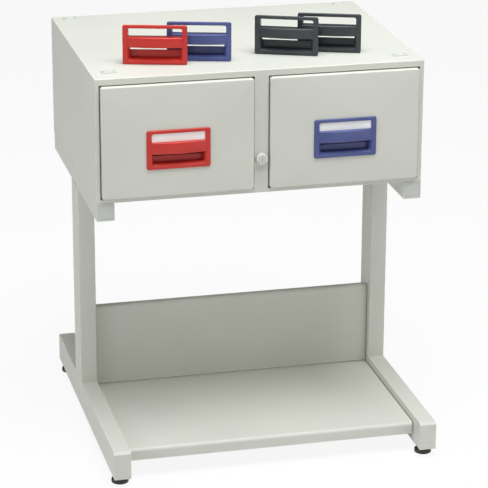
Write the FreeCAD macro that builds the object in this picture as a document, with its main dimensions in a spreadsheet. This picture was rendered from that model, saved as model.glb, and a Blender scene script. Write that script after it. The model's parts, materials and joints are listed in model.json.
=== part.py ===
"""Two-drawer steel card cabinet on a stand, with four loose spare handles.

Millimetres, +Z up, +X to the right and the drawer fronts facing -Y. The origin lies on the
floor, under the middle of the space that the cabinet and its stand take up.
"""
import FreeCAD, Part
import os
import re

from FreeCAD import Placement, Rotation, Vector

# ---------------------------------------------------------------- driving sizes, in millimetres
SIZES = {
    # cabinet body
    "cabinet_width": 770, "cabinet_depth": 590, "cabinet_height": 292,
    "sheet": 1.2, "edge_round": 2.2, "stile_width": 10, "top_rail": 15, "bottom_rail": 8.5,
    "post_width": 33, "frame_lip": 14, "pad_length": 34, "pad_width": 20, "pad_height": 3,
    "pad_corner": 3, "pad_inset": 26, "pad_front_inset": 44, "pad_back_inset": 14,
    "socket_radius": 2, "socket_inset": 5, "overrun": 1,
    # stand
    "foot_clearance": 20, "foot_height": 68, "foot_width": 40, "foot_reach": 170,
    "foot_setback": 2, "toe_chamfer": 6, "upright_height": 500, "upright_depth": 80,
    "upright_centre": 298, "beam_size": 42, "beam_setback": 8, "tube_wall": 2,
    "cap_depth": 12, "cap_lip": 2.5, "shelf_reach": 120, "shelf_drop": 18, "shelf_lip": 28,
    "shelf_bend": 8, "panel_setback": 20, "panel_height": 205,
    "panel_return": 16, "panel_gap": 3, "stretcher_gap": 2,
    # fasteners and levelling feet
    "bolt_radius": 4, "bolt_clearance": 0.3, "bolt_head_radius": 7, "bolt_head": 5.5,
    "nut_height": 6.5, "thread_end": 4, "bolt_inset": 70, "screw_radius": 3, "screw_head_radius": 5.5,
    "screw_head": 3.2, "screw_length": 14, "shelf_screw_front": 40, "shelf_screw_back": 20,
    "panel_screw_low": 40, "panel_screw_drop": 30, "washer_radius": 7, "disc_radius": 20,
    "disc_height": 10, "disc_round": 3.2, "disc_land": 1, "disc_neck": 5, "stem_radius": 5, "stem_length": 40,
    "stem_clearance": 0.05, "stem_hole_clearance": 1.2, "collar_radius": 9, "collar_height": 3,
    "level_inset": 36,
    "weld_nut_radius": 9, "weld_nut_height": 8,
    # drawers
    "front_gap": 2.5, "front_proud": 10, "front_depth": 26, "front_corner": 6,
    "front_round": 3.5, "tray_sheet": 1, "tray_rise": 24, "tray_head_gap": 53,
    "tray_back_gap": 31.6, "tray_rim": 8,
    # telescopic slides
    "slide_clear": 1.8, "slide_back_gap": 29.8, "slide_width": 13, "slide_height": 46,
    "slide_rise": 36, "channel_margin": 10, "member_sheet": 1.5, "member_gap": 1, "ball_gap": 3.2,
    "ball_clearance": 0.05, "ball_pitch": 24, "cage_start": 140, "cage_clear": 300,
    "cage_thickness": 2, "cage_width": 4, "flange_reach": 11, "inner_flange_start": 5,
    # handles
    "handle_width": 148, "handle_height": 92, "handle_rise": 65, "handle_flange": 4,
    "handle_corner": 5, "handle_round": 2, "sleeve_margin": 7, "sleeve_depth": 15,
    "sleeve_wall": 2, "sleeve_clearance": 1, "window_side": 13, "window_height": 20,
    "window_top": 8, "bar_height": 27, "bar_proud": 8, "bar_crown": 4, "bar_thickness": 3,
    "pocket_side": 12, "pocket_floor": 9, "pocket_slit": 6, "label_sheet": 0.4,
    "label_margin": 3, "label_clearance": 0.1,
    # lock
    "lock_rise": 82, "lock_head_radius": 14, "lock_head": 11, "lock_round": 3.2, "lock_barrel_radius": 9,
    "lock_barrel": 17, "plug_radius": 6, "plug_clearance": 0.05, "plug_proud": 0.8,
    "keyway_width": 1.4, "keyway_height": 7.5, "keyway_depth": 9, "lock_nut_radius": 13,
    "lock_nut": 4, "cam_radius": 8, "cam_sheet": 2.2, "cam_pin_radius": 1.75,
    "cam_pin": 5, "cam_slack": 0.4, "cam_over": 0.5, "cam_gap": 1, "bar_sheet": 3,
    "bar_width": 26, "bar_gap": 0.5,
    "bar_foot": 25, "bar_head_gap": 24.5, "guide_height": 10, "guide_rise": 40,
    "guide_drop": 57, "guide_slack": 0.3, "guide_wall": 2.6, "stud_radius": 3, "stud_past": 4.5,
    "stud_rise": 130, "catch_sheet": 2.5, "catch_offset": 3.5, "catch_slack": 0.6,
    "catch_nose": 8, "catch_height": 22,
    # loose handles: middle in X, distance behind the cabinet's front, turn about Z in degrees
    "red_x": -226, "red_back": 99, "red_turn": -16,
    "blue_x": -121.5, "blue_back": 107, "blue_turn": -16,
    "black_front_x": 87, "black_front_back": 114.5, "black_front_turn": -22,
    "black_rear_x": 190, "black_rear_back": 117, "black_rear_turn": -20,
}

# -------------------------------------------------- sizes and places that follow from the others
DERIVED = {
    "front_y": "(foot_reach - cabinet_depth) / 2",
    "back_y": "(foot_reach + cabinet_depth) / 2",
    "half_width": "cabinet_width / 2",
    "foot_top": "foot_clearance + foot_height",
    "beam_bottom": "foot_top + upright_height",
    "cabinet_bottom": "beam_bottom + beam_size",
    "cabinet_top": "cabinet_bottom + cabinet_height",
    "upright_y": "front_y + upright_centre - upright_depth / 2",
    "opening_width": "half_width - stile_width - post_width / 2",
    "opening_height": "cabinet_height - top_rail - bottom_rail",
    "opening_centre": "(half_width - stile_width + post_width / 2) / 2",
    "front_width": "opening_width - 2 * front_gap",
    "front_height": "opening_height - 2 * front_gap",
    "front_bottom": "cabinet_bottom + bottom_rail + front_gap",
    "front_inner_y": "front_y - front_proud + front_depth",
    "tray_width": "opening_width - 2 * slide_width",
    "tray_y": "front_inner_y + sheet",
    "tray_z": "cabinet_bottom + tray_rise",
    "tray_depth": "back_y - sheet - tray_back_gap - tray_y",
    "tray_height": "cabinet_height - top_rail - tray_head_gap - tray_rise",
    "middle_height": "slide_height - 2 * member_sheet - 2 * ball_gap",
    "inner_height": "middle_height - 2 * member_sheet - 2 * ball_gap",
    "slide_y": "tray_y + slide_clear",
    "slide_length": "back_y - sheet - slide_back_gap - slide_y",
    "cage_length": "slide_length - cage_clear",
    "slide_z": "cabinet_bottom + slide_rise + slide_height / 2",
    "ball_radius": "ball_gap / 2 - ball_clearance",
    "shelf_top": "foot_top - shelf_drop",
    "panel_y": "upright_y + panel_setback",
    "stretcher_half": "half_width - foot_width - stretcher_gap",
    "sleeve_width": "handle_width - 2 * sleeve_margin",
    "sleeve_height": "handle_height - 2 * sleeve_margin",
    "window_z": "handle_height - window_top - window_height",
    "window_width": "handle_width - 2 * window_side",
    "pocket_width": "handle_width - 2 * pocket_side",
    "bar_z": "window_z - bar_height",
    "handle_z": "front_bottom + handle_rise",
    "lock_z": "cabinet_bottom + lock_rise",
    "cam_arm": "cam_radius * sqrt(0.5)",
    "cam_y": "front_y + lock_barrel + cam_gap",
    "bar_y": "cam_y + cam_sheet + bar_gap",
    "bar_travel": "2 * cam_arm",
    "bar_length": "cabinet_height - sheet - bar_head_gap - bar_travel - bar_foot",
    "stud_reach": "post_width / 2 + catch_offset + catch_sheet + stud_past",
    "stud_y": "bar_y + bar_sheet / 2",
    "stud_z": "cabinet_bottom + stud_rise",
}

doc = FreeCAD.newDocument("card_cabinet")
sheet = doc.addObject("Spreadsheet::Sheet", "Sizes")
for row, (alias, number) in enumerate(SIZES.items(), start=1):
    sheet.set(f"A{row}", alias)
    sheet.set(f"B{row}", str(number))
    sheet.setAlias(f"B{row}", alias)
doc.recompute()

SUBPARTS = []
X, Y, Z = Vector(1, 0, 0), Vector(0, 1, 0), Vector(0, 0, 1)


# ---------------------------------------------------------------------------- drawing helpers
def expand(text):
    """Spell out the derived names in an expression and point each plain size at its cell."""
    def spell(match):
        word = match.group(0)
        if word in DERIVED:
            return "(" + expand(DERIVED[word]) + ")"
        return "Sizes." + word if word in SIZES else word
    return re.sub(r"[a-z][a-z_]*", spell, str(text))


def bind(thing, **rules):
    """Bind properties of an object to expressions over the sheet."""
    for name, rule in rules.items():
        thing.setExpression(name, expand(rule))
    return thing


def measure(rule):
    """The present value of an expression over the sheet, read from a helper line's length."""
    gauge = bind(doc.addObject("Part::Line", "Gauge"), X2=rule)
    doc.recompute()
    reading = gauge.X2.Value - gauge.X1.Value
    doc.removeObject(gauge.Name)
    return reading


def place(thing, x="0", y="0", z="0", turn=None):
    """Give an object its place by expressions, and its turn as a rotation."""
    if turn is not None:
        thing.Placement = Placement(Vector(0, 0, 0), turn)
    for axis, rule in zip("xyz", (x, y, z)):
        thing.setExpression(f"Placement.Base.{axis}", expand(rule))
    return thing


def block(width, depth, height, x="0", y="0", z="0"):
    """A box given by its size and its lowest corner."""
    thing = bind(doc.addObject("Part::Box", "Block"), Length=width, Width=depth, Height=height)
    return place(thing, x, y, z)


def centred(width, depth, height, x="0", y="0", z="0"):
    """A box whose middle in X is at x, with y and z its lowest corner."""
    return block(width, depth, height, f"{x} - ({width}) / 2", y, z)


def rod(radius, length, x="0", y="0", z="0", along=Z):
    """A cylinder from a centre point along an axis."""
    thing = bind(doc.addObject("Part::Cylinder", "Rod"), Radius=radius, Height=length)
    return place(thing, x, y, z, Rotation(Z, along))


def cone(low, high, length, x="0", y="0", z="0", along=Z):
    """A cone frustum from a centre point along an axis."""
    thing = doc.addObject("Part::Cone", "Taper")
    bind(thing, Radius1=low, Radius2=high, Height=length)
    return place(thing, x, y, z, Rotation(Z, along))


def ball(radius, x="0", y="0", z="0"):
    """A sphere about a centre point."""
    return place(bind(doc.addObject("Part::Sphere", "Ball"), Radius=radius), x, y, z)


def hexagon(radius, length, x="0", y="0", z="0", along=Z):
    """A six-sided prism, given over its corners, along an axis."""
    thing = doc.addObject("Part::Prism", "Hexagon")
    thing.Polygon = 6
    bind(thing, Circumradius=radius, Height=length)
    return place(thing, x, y, z, Rotation(Z, along))


def join(*things):
    """One solid from several that touch or overlap."""
    if len(things) == 1:
        return things[0]
    thing = doc.addObject("Part::MultiFuse", "Join")
    thing.Shapes = list(things)
    thing.Refine = True
    return thing


def group(*things):
    """Several separate solids held as one sub-part."""
    thing = doc.addObject("Part::Compound", "Group")
    thing.Links = list(things)
    return thing


def cut(body, *tools):
    """A solid with others taken out of it."""
    thing = doc.addObject("Part::Cut", "Cut")
    thing.Base, thing.Tool = body, join(*tools)
    thing.Refine = True
    return thing


def common(first, second):
    """What two solids share."""
    thing = doc.addObject("Part::Common", "Shared")
    thing.Base, thing.Tool = first, second
    return thing


def rounded(body, size, choose):
    """Round the chosen edges by a named size."""
    doc.recompute()
    thing = doc.addObject("Part::Fillet", "Rounded")
    thing.Base = body
    radius = sheet.get(size)
    picked = [i for i, edge in enumerate(body.Shape.Edges, start=1) if choose(edge, body.Shape)]
    thing.Edges = [(i, radius, radius) for i in picked]
    return thing


def chamfered(body, size, choose):
    """Bevel the chosen edges by a named size."""
    doc.recompute()
    thing = doc.addObject("Part::Chamfer", "Bevelled")
    thing.Base = body
    width = sheet.get(size)
    picked = [i for i, edge in enumerate(body.Shape.Edges, start=1) if choose(edge, body.Shape)]
    thing.Edges = [(i, width, width) for i in picked]
    return thing


def lies_along(edge, axis):
    """Whether an edge is straight and parallel to an axis."""
    if len(edge.Vertexes) != 2 or not isinstance(edge.Curve, Part.Line):
        return False
    return abs(edge.Curve.Direction.dot(axis)) > 0.999


def on_side(edge, shape, side):
    """Whether an edge lies wholly on one side of the shape's box, such as YMin."""
    own, whole = getattr(edge.BoundBox, side), getattr(shape.BoundBox, side)
    span = {"X": "XLength", "Y": "YLength", "Z": "ZLength"}[side[0]]
    return abs(own - whole) < 1e-4 and getattr(edge.BoundBox, span) < 1e-4


def edges_along(axis, *sides):
    """A chooser of the straight edges along an axis that lie on the given sides."""
    return lambda edge, shape: lies_along(edge, axis) and all(on_side(edge, shape, s) for s in sides)


def edges_on(side):
    """A chooser of every edge on one side of the shape."""
    return lambda edge, shape: on_side(edge, shape, side)


def subpart(label, thing):
    """Name a finished piece and remember it."""
    thing.Label = label
    SUBPARTS.append(thing)
    return thing


# ------------------------------------------------------------------------------ cabinet body
def make_carcass():
    """The folded shell: top, two sides and the front frame with its two drawer openings."""
    outer = block("cabinet_width", "cabinet_depth", "cabinet_height",
                  "-half_width", "front_y", "cabinet_bottom")
    outer = rounded(outer, "edge_round", edges_along(Y, "ZMax"))
    outer = rounded(outer, "edge_round", edges_on("YMin"))
    hollow = centred("cabinet_width - 2 * sheet", "cabinet_depth", "cabinet_height",
                     "0", "front_y + sheet", "cabinet_bottom - sheet")
    lips, mouths = [], []
    for side in ("-", "+"):
        centre = f"0 {side} opening_centre"
        low = "cabinet_bottom + bottom_rail"
        lips.append(centred("opening_width + 2 * sheet", "frame_lip - sheet",
                            "opening_height + 2 * sheet", centre, "front_y + sheet", f"{low} - sheet"))
        mouths.append(centred("opening_width", "frame_lip + 2 * sheet", "opening_height",
                              centre, "front_y - sheet", low))
    lock_hole = rod("lock_barrel_radius + plug_clearance", "4 * sheet", "0",
                    "front_y - 2 * sheet", "lock_z", Y)
    shell = cut(join(cut(outer, hollow), *lips), *mouths, lock_hole)
    subpart("carcass_shell", shell)


def bolt_places():
    """Where the four bolts go through the top beams: (x, y) expressions."""
    for side in ("-", "+"):
        x = f"0 {side} (half_width - beam_size / 2)"
        yield x, "front_y + bolt_inset"
        yield x, "back_y - beam_setback - bolt_inset"


def make_cabinet_panels():
    """Bottom, back and the two partition sheets that make the middle box section."""
    inner_width = "cabinet_width - 2 * sheet"
    floor = centred(inner_width, "cabinet_depth - 2 * sheet", "sheet", "0", "front_y + sheet",
                    "cabinet_bottom")
    holes = [rod("bolt_radius + bolt_clearance", "4 * sheet", x, y, "cabinet_bottom - sheet")
             for x, y in bolt_places()]
    subpart("bottom_panel", cut(floor, *holes))
    subpart("back_panel", centred(inner_width, "sheet", "cabinet_height - sheet", "0",
                                  "back_y - sheet", "cabinet_bottom"))
    for side, word in (("-", "left"), ("+", "right")):
        wall = centred("sheet", "cabinet_depth - frame_lip - sheet",
                       "cabinet_height - 2 * sheet", f"0 {side} (post_width - sheet) / 2",
                       "front_y + frame_lip", "cabinet_bottom + sheet")
        slot_half = "(stud_radius + catch_slack)"
        slot = centred("3 * sheet", f"2 * {slot_half}", f"bar_travel + 2 * {slot_half}",
                       f"0 {side} (post_width - sheet) / 2", f"stud_y - {slot_half}",
                       f"stud_z - {slot_half}")
        subpart(f"partition_{word}", cut(wall, slot))


def make_slide_channels():
    """Hat-section channels that carry the outer slides clear of the front stiles."""
    solids = []
    depth = "stile_width - sheet"
    for side in ("-", "+"):
        middle = f"0 {side} (half_width - sheet - ({depth}) / 2)"
        outer = centred(depth, "slide_length", "slide_height + 2 * channel_margin", middle,
                        "slide_y", "slide_z - slide_height / 2 - channel_margin")
        inner = centred(depth, "slide_length + 2 * overrun",
                        "slide_height + 2 * channel_margin - 2 * sheet",
                        f"0 {side} (half_width - ({depth}) / 2)", "slide_y - overrun",
                        "slide_z - slide_height / 2 - channel_margin + sheet")
        solids.append(cut(outer, inner))
    subpart("slide_mounting_channels", group(*solids))


def make_stacking_pads():
    """Low pads near the four top corners, each with two sockets at its ends."""
    pads = []
    for side in ("-", "+"):
        x = f"0 {side} (half_width - pad_inset - pad_length / 2)"
        for y in ("front_y + pad_front_inset", "back_y - pad_back_inset - pad_width"):
            pad = centred("pad_length", "pad_width", "pad_height", x, y, "cabinet_top")
            pad = rounded(pad, "pad_corner", edges_along(Z))
            ends = [rod("socket_radius", "pad_height", f"{x} {end} (pad_length / 2 - socket_inset)",
                        f"{y} + pad_width / 2", "cabinet_top + pad_height / 2") for end in ("-", "+")]
            pads.append(cut(pad, *ends))
    subpart("stacking_pads", group(*pads))


# ------------------------------------------------------------------------------------- stand
def make_top_beams():
    """Square tubes under the cabinet sides, with their bolts, nuts and end caps."""
    length = "cabinet_depth - beam_setback"
    caps, bolts, nuts = [], [], []
    places = list(bolt_places())
    for number, (side, word) in enumerate((("-", "left"), ("+", "right"))):
        x = f"0 {side} (half_width - beam_size / 2)"
        tube = centred("beam_size", length, "beam_size", x, "front_y", "beam_bottom")
        tube = rounded(tube, "edge_round", edges_along(Y))
        bore = centred("beam_size - 2 * tube_wall", f"{length} + 2 * overrun",
                       "beam_size - 2 * tube_wall", x, "front_y - overrun",
                       "beam_bottom + tube_wall")
        holes = [rod("bolt_radius + bolt_clearance", "beam_size + 2 * overrun", hx, hy,
                     "beam_bottom - overrun") for hx, hy in places[2 * number:][:2]]
        subpart(f"top_beam_{word}", cut(tube, bore, *holes))
        for y, cup in (("front_y", "cap_lip"), (f"front_y + {length} - cap_depth", "-cap_lip")):
            plug = centred("beam_size - 2 * tube_wall", "cap_depth", "beam_size - 2 * tube_wall", x,
                           y, "beam_bottom + tube_wall")
            space = centred("beam_size - 2 * tube_wall - 2 * cap_lip", "cap_depth",
                            "beam_size - 2 * tube_wall - 2 * cap_lip", x, f"{y} + {cup}",
                            "beam_bottom + tube_wall + cap_lip")
            caps.append(cut(plug, space))
    for x, y in places:
        shank = rod("bolt_radius", "beam_size + sheet + nut_height + thread_end", x, y, "beam_bottom")
        bolts.append(join(shank, hexagon("bolt_head_radius", "bolt_head", x, y,
                                         "beam_bottom - bolt_head")))
        nut = hexagon("bolt_head_radius", "nut_height", x, y, "cabinet_bottom + sheet")
        hole = rod("bolt_radius + stem_clearance", "nut_height + 2 * overrun", x, y,
                   "cabinet_bottom + sheet - overrun")
        nuts.append(cut(nut, hole))
    subpart("beam_end_caps", group(*caps))
    subpart("beam_bolts", group(*bolts))
    subpart("beam_nuts", group(*nuts))


def screw_places():
    """The stretcher screws on one side: (kind, y, z) expressions."""
    yield "shelf", "front_y - shelf_reach + shelf_screw_front", "shelf_top - shelf_lip / 2"
    yield "shelf", "panel_y - shelf_screw_back", "shelf_top - shelf_lip / 2"
    y = "panel_y + panel_return / 2 + sheet"
    yield "panel", y, "shelf_top + panel_screw_low"
    yield "panel", y, "shelf_top + panel_height - panel_screw_drop"


def make_uprights_and_feet():
    """Rectangular tube uprights, and foot beams with their caps, nuts and levelling feet."""
    caps, nuts = [], []
    for side, word in (("-", "left"), ("+", "right")):
        x = f"0 {side} (half_width - foot_width / 2)"
        tube = centred("foot_width", "upright_depth", "upright_height", x, "upright_y", "foot_top")
        tube = rounded(tube, "edge_round", edges_along(Z))
        bore = centred("foot_width - 2 * tube_wall", "upright_depth - 2 * tube_wall",
                       "upright_height + 2 * overrun", x, "upright_y + tube_wall",
                       "foot_top - overrun")
        inner_face = f"0 {side} (half_width - foot_width)"
        panel_holes, shelf_holes = [], []
        for kind, y, z in screw_places():
            hole = rod("screw_radius + stem_clearance", "4 * tube_wall", f"{inner_face} - 2 * tube_wall",
                       y, z, X)
            (panel_holes if kind == "panel" else shelf_holes).append(hole)
        subpart(f"upright_{word}", cut(tube, bore, *panel_holes))

        length = "foot_reach + cabinet_depth - foot_setback"
        beam = centred("foot_width", length, "foot_height", x, "front_y - foot_reach",
                       "foot_clearance")
        beam = chamfered(beam, "toe_chamfer", edges_along(X, "YMin", "ZMax"))
        beam = rounded(beam, "edge_round", edges_along(Y))
        hollow = centred("foot_width - 2 * tube_wall", f"{length} - toe_chamfer - cap_depth",
                         "foot_height - 2 * tube_wall", x,
                         "front_y - foot_reach + toe_chamfer + tube_wall",
                         "foot_clearance + tube_wall")
        tail = centred("foot_width - 2 * tube_wall", "3 * cap_depth", "foot_height - 2 * tube_wall", x,
                       "back_y - foot_setback - 2 * cap_depth", "foot_clearance + tube_wall")
        stems = []
        for y in ("front_y - foot_reach + level_inset", "back_y - foot_setback - level_inset"):
            stems.append(rod("stem_radius + stem_hole_clearance", "4 * tube_wall", x, y,
                             "foot_clearance - tube_wall"))
            nut = hexagon("weld_nut_radius", "weld_nut_height", x, y, "foot_clearance + tube_wall")
            thread = rod("stem_radius + stem_clearance", "weld_nut_height + 2 * overrun", x, y,
                         "foot_clearance + tube_wall - overrun")
            nuts.append(cut(nut, thread))
        subpart(f"foot_beam_{word}", cut(beam, hollow, tail, *stems, *shelf_holes))
        plug = centred("foot_width - 2 * tube_wall", "cap_depth", "foot_height - 2 * tube_wall", x,
                       "back_y - foot_setback - cap_depth", "foot_clearance + tube_wall")
        space = centred("foot_width - 2 * tube_wall - 2 * cap_lip", "cap_depth",
                        "foot_height - 2 * tube_wall - 2 * cap_lip", x,
                        "back_y - foot_setback - cap_depth - cap_lip",
                        "foot_clearance + tube_wall + cap_lip")
        caps.append(cut(plug, space))
    subpart("foot_end_caps", group(*caps))
    subpart("levelling_nuts", group(*nuts))


def make_levelling_feet():
    """Four screw-in feet: a disc on the floor, a hexagon to turn it by, and a threaded stem."""
    for side, word in (("-", "left"), ("+", "right")):
        x = f"0 {side} (half_width - foot_width / 2)"
        for end, y in (("front", "front_y - foot_reach + level_inset"),
                       ("back", "back_y - foot_setback - level_inset")):
            disc = rounded(rod("disc_radius", "disc_height"), "disc_round", edges_on("ZMax"))
            neck = cone("disc_radius - disc_round - disc_land", "collar_radius", "disc_neck", z="disc_height")
            grip = hexagon("collar_radius", "collar_height", z="disc_height + disc_neck")
            stem = rod("stem_radius", "stem_length", z="disc_height")
            foot = join(disc, neck, grip, stem)
            subpart(f"levelling_foot_{end}_{word}", place(foot, x, y, "0"))


def make_stretchers():
    """The lower shelf and the rear panel between the side frames, and what fastens them."""
    width = "2 * stretcher_half"
    depth = "panel_y + panel_return + sheet - (front_y - shelf_reach)"
    tray = centred(width, depth, "shelf_lip", "0", "front_y - shelf_reach", "shelf_top - shelf_lip")
    tray = rounded(tray, "shelf_bend", edges_along(X, "YMin", "ZMax"))
    space = centred(f"{width} - 2 * sheet", f"{depth} - 2 * sheet", "shelf_lip", "0",
                    "front_y - shelf_reach + sheet", "shelf_top - shelf_lip - sheet")
    space = rounded(space, "shelf_bend", edges_along(X, "YMin", "ZMax"))
    panel = "panel_height - panel_gap"
    wall = centred(width, "panel_return", panel, "0", "panel_y", "shelf_top + panel_gap")
    wall = rounded(wall, "shelf_bend", edges_along(X, "YMin", "ZMax"))
    void = centred(f"{width} - 2 * sheet", "panel_return", panel, "0", "panel_y + sheet",
                   "shelf_top + panel_gap - sheet")
    void = rounded(void, "shelf_bend", edges_along(X, "YMin", "ZMax"))
    holes, screws, washers = {"shelf": [], "panel": []}, {"shelf": [], "panel": []}, []
    for side, toward in (("-", "+"), ("+", "-")):
        frame_face = f"0 {side} (half_width - foot_width)"
        flange_face = f"0 {side} (stretcher_half - sheet)"
        along = X if side == "-" else -X
        for kind, y, z in screw_places():
            holes[kind].append(rod("screw_radius + bolt_clearance", "6 * sheet",
                                   f"0 {side} stretcher_half - 3 * sheet", y, z, X))
            washer = rod("washer_radius", "stretcher_gap", frame_face, y, z, along)
            bore = rod("screw_radius + bolt_clearance", "6 * sheet", f"{frame_face} - 3 * sheet", y, z, X)
            washers.append(cut(washer, bore))
            shank = rod("screw_radius", "screw_length", flange_face, y, z, -along)
            head = rod("screw_head_radius", "screw_head", flange_face, y, z, along)
            screws[kind].append(join(shank, head))
    subpart("base_shelf", cut(tray, space, *holes["shelf"]))
    subpart("rear_panel", cut(wall, void, *holes["panel"]))
    subpart("shelf_screws", group(*screws["shelf"]))
    subpart("rear_panel_screws", group(*screws["panel"]))
    subpart("spacer_washers", group(*washers))


# ----------------------------------------------------------------------------------- drawers
def channel(web_x, web, flange_start, flange_end, height):
    """A C-section of the slide's length: a web, and a flange at its top and bottom."""
    wall = block(web, "slide_length", height, web_x, "slide_y", f"slide_z - ({height}) / 2")
    low = block(f"{flange_end} - ({flange_start})", "slide_length", "member_sheet", flange_start,
                "slide_y", f"slide_z - ({height}) / 2")
    high = block(f"{flange_end} - ({flange_start})", "slide_length", "member_sheet", flange_start,
                 "slide_y", f"slide_z + ({height}) / 2 - member_sheet")
    return join(wall, low, high)


def flipped(thing, x):
    """The same piece mirrored in X about a plane."""
    mirror = doc.addObject("Part::Mirroring", "Mirrored")
    mirror.Source = thing
    mirror.Normal = X
    mirror.setExpression("Base.x", expand(x))
    return mirror


def slide_pair(make, centre):
    """A slide piece on the opening's left side and its mirror image on the right."""
    return group(make(f"{centre} - opening_width / 2"),
                 flipped(make(f"{centre} - opening_width / 2"), centre))


def cage_strip(edge, height):
    """A retainer strip with its captive balls, at a height from the slide's middle line."""
    x = f"{edge} + (flange_reach + inner_flange_start) / 2"
    strip = centred("cage_width", "cage_length", "cage_thickness", x, "slide_y + cage_start",
                    f"slide_z + {height} - cage_thickness / 2")
    count = int(measure("cage_length") / sheet.get("ball_pitch"))
    balls = [ball("ball_radius", x, f"slide_y + cage_start + ball_pitch * {number + 0.5}",
                  f"slide_z + {height}") for number in range(count)]
    return join(strip, *balls)


def make_slides(word, centre):
    """Both telescopic slides of one drawer: three members and two sets of ball cages."""
    subpart(f"slide_cabinet_members_{word}", slide_pair(
        lambda edge: channel(edge, "member_sheet", f"{edge} + member_sheet",
                             f"{edge} + flange_reach", "slide_height"), centre))
    subpart(f"slide_middle_members_{word}", slide_pair(
        lambda edge: channel(f"{edge} + member_sheet + member_gap", "member_sheet",
                             f"{edge} + 2 * member_sheet + member_gap", f"{edge} + flange_reach",
                             "middle_height"), centre))
    subpart(f"slide_drawer_members_{word}", slide_pair(
        lambda edge: channel(f"{edge} + slide_width - member_sheet", "member_sheet",
                             f"{edge} + inner_flange_start", f"{edge} + slide_width - member_sheet",
                             "inner_height"), centre))
    for race, outer in (("outer", "middle_height"), ("inner", "inner_height")):
        height = f"(({outer}) / 2 + ball_gap / 2)"
        solids = []
        for sign in ("", "-"):
            solids.append(cage_strip(f"{centre} - opening_width / 2", f"{sign}{height}"))
            solids.append(flipped(cage_strip(f"{centre} - opening_width / 2", f"{sign}{height}"), centre))
        subpart(f"ball_cages_{race}_{word}", group(*solids))


def make_tray(word, centre):
    """The folded card tray: floor, two sides and back, with a turned-in rim along the sides."""
    outer = centred("tray_width", "tray_depth", "tray_height", centre, "tray_y", "tray_z")
    inner = centred("tray_width - 2 * tray_sheet", "tray_depth - tray_sheet", "tray_height", centre,
                    "tray_y", "tray_z + tray_sheet")
    rims = [centred("tray_rim", "tray_depth", "tray_sheet",
                    f"{centre} {side} (tray_width - tray_rim) / 2", "tray_y",
                    "tray_z + tray_height - tray_sheet") for side in ("-", "+")]
    subpart(f"drawer_tray_{word}", join(cut(outer, inner), *rims))


def make_drawer_front(word, centre):
    """The pressed front pan with its handle cut-out, and the inner skin that closes it."""
    pan = centred("front_width", "front_depth", "front_height", centre, "front_y - front_proud",
                  "front_bottom")
    pan = rounded(pan, "front_corner", edges_along(Y))
    pan = rounded(pan, "front_round", edges_on("YMin"))
    hollow = centred("front_width - 2 * sheet", "front_depth", "front_height - 2 * sheet", centre,
                     "front_y - front_proud + sheet", "front_bottom + sheet")
    hollow = rounded(hollow, "front_corner", edges_along(Y))
    hollow = rounded(hollow, "front_round", edges_on("YMin"))
    window = centred("sleeve_width + 2 * sleeve_clearance", "4 * sheet",
                     "sleeve_height + 2 * sleeve_clearance", centre,
                     "front_y - front_proud - sheet", "handle_z + sleeve_margin - sleeve_clearance")
    subpart(f"drawer_front_{word}", cut(pan, hollow, window))
    skin = centred("front_width", "sheet", "front_height", centre, "front_inner_y", "front_bottom")
    subpart(f"drawer_inner_front_{word}", rounded(skin, "front_corner", edges_along(Y)))


def make_catch(word, side, centre):
    """The hook behind the drawer front that the rising lock stud engages."""
    x = f"0 {side} (post_width / 2 + catch_offset + catch_sheet / 2)"
    low = "(stud_z + stud_radius + catch_slack)"
    plate = centred("catch_sheet", "stud_y + stud_radius + catch_slack + catch_nose - tray_y",
                    "catch_height", x, "tray_y", low)
    notch = centred("3 * catch_sheet", "2 * (stud_radius + catch_slack)",
                    "bar_travel", x, "stud_y - stud_radius - catch_slack", f"{low} - catch_slack")
    tab_width = "(slide_width - catch_offset)"
    tab = centred(tab_width, "catch_sheet / 2", "catch_height",
                  f"0 {side} (post_width / 2 + catch_offset + {tab_width} / 2 - catch_slack)",
                  "tray_y", low)
    subpart(f"lock_catch_{word}", join(cut(plate, notch), tab))


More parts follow.
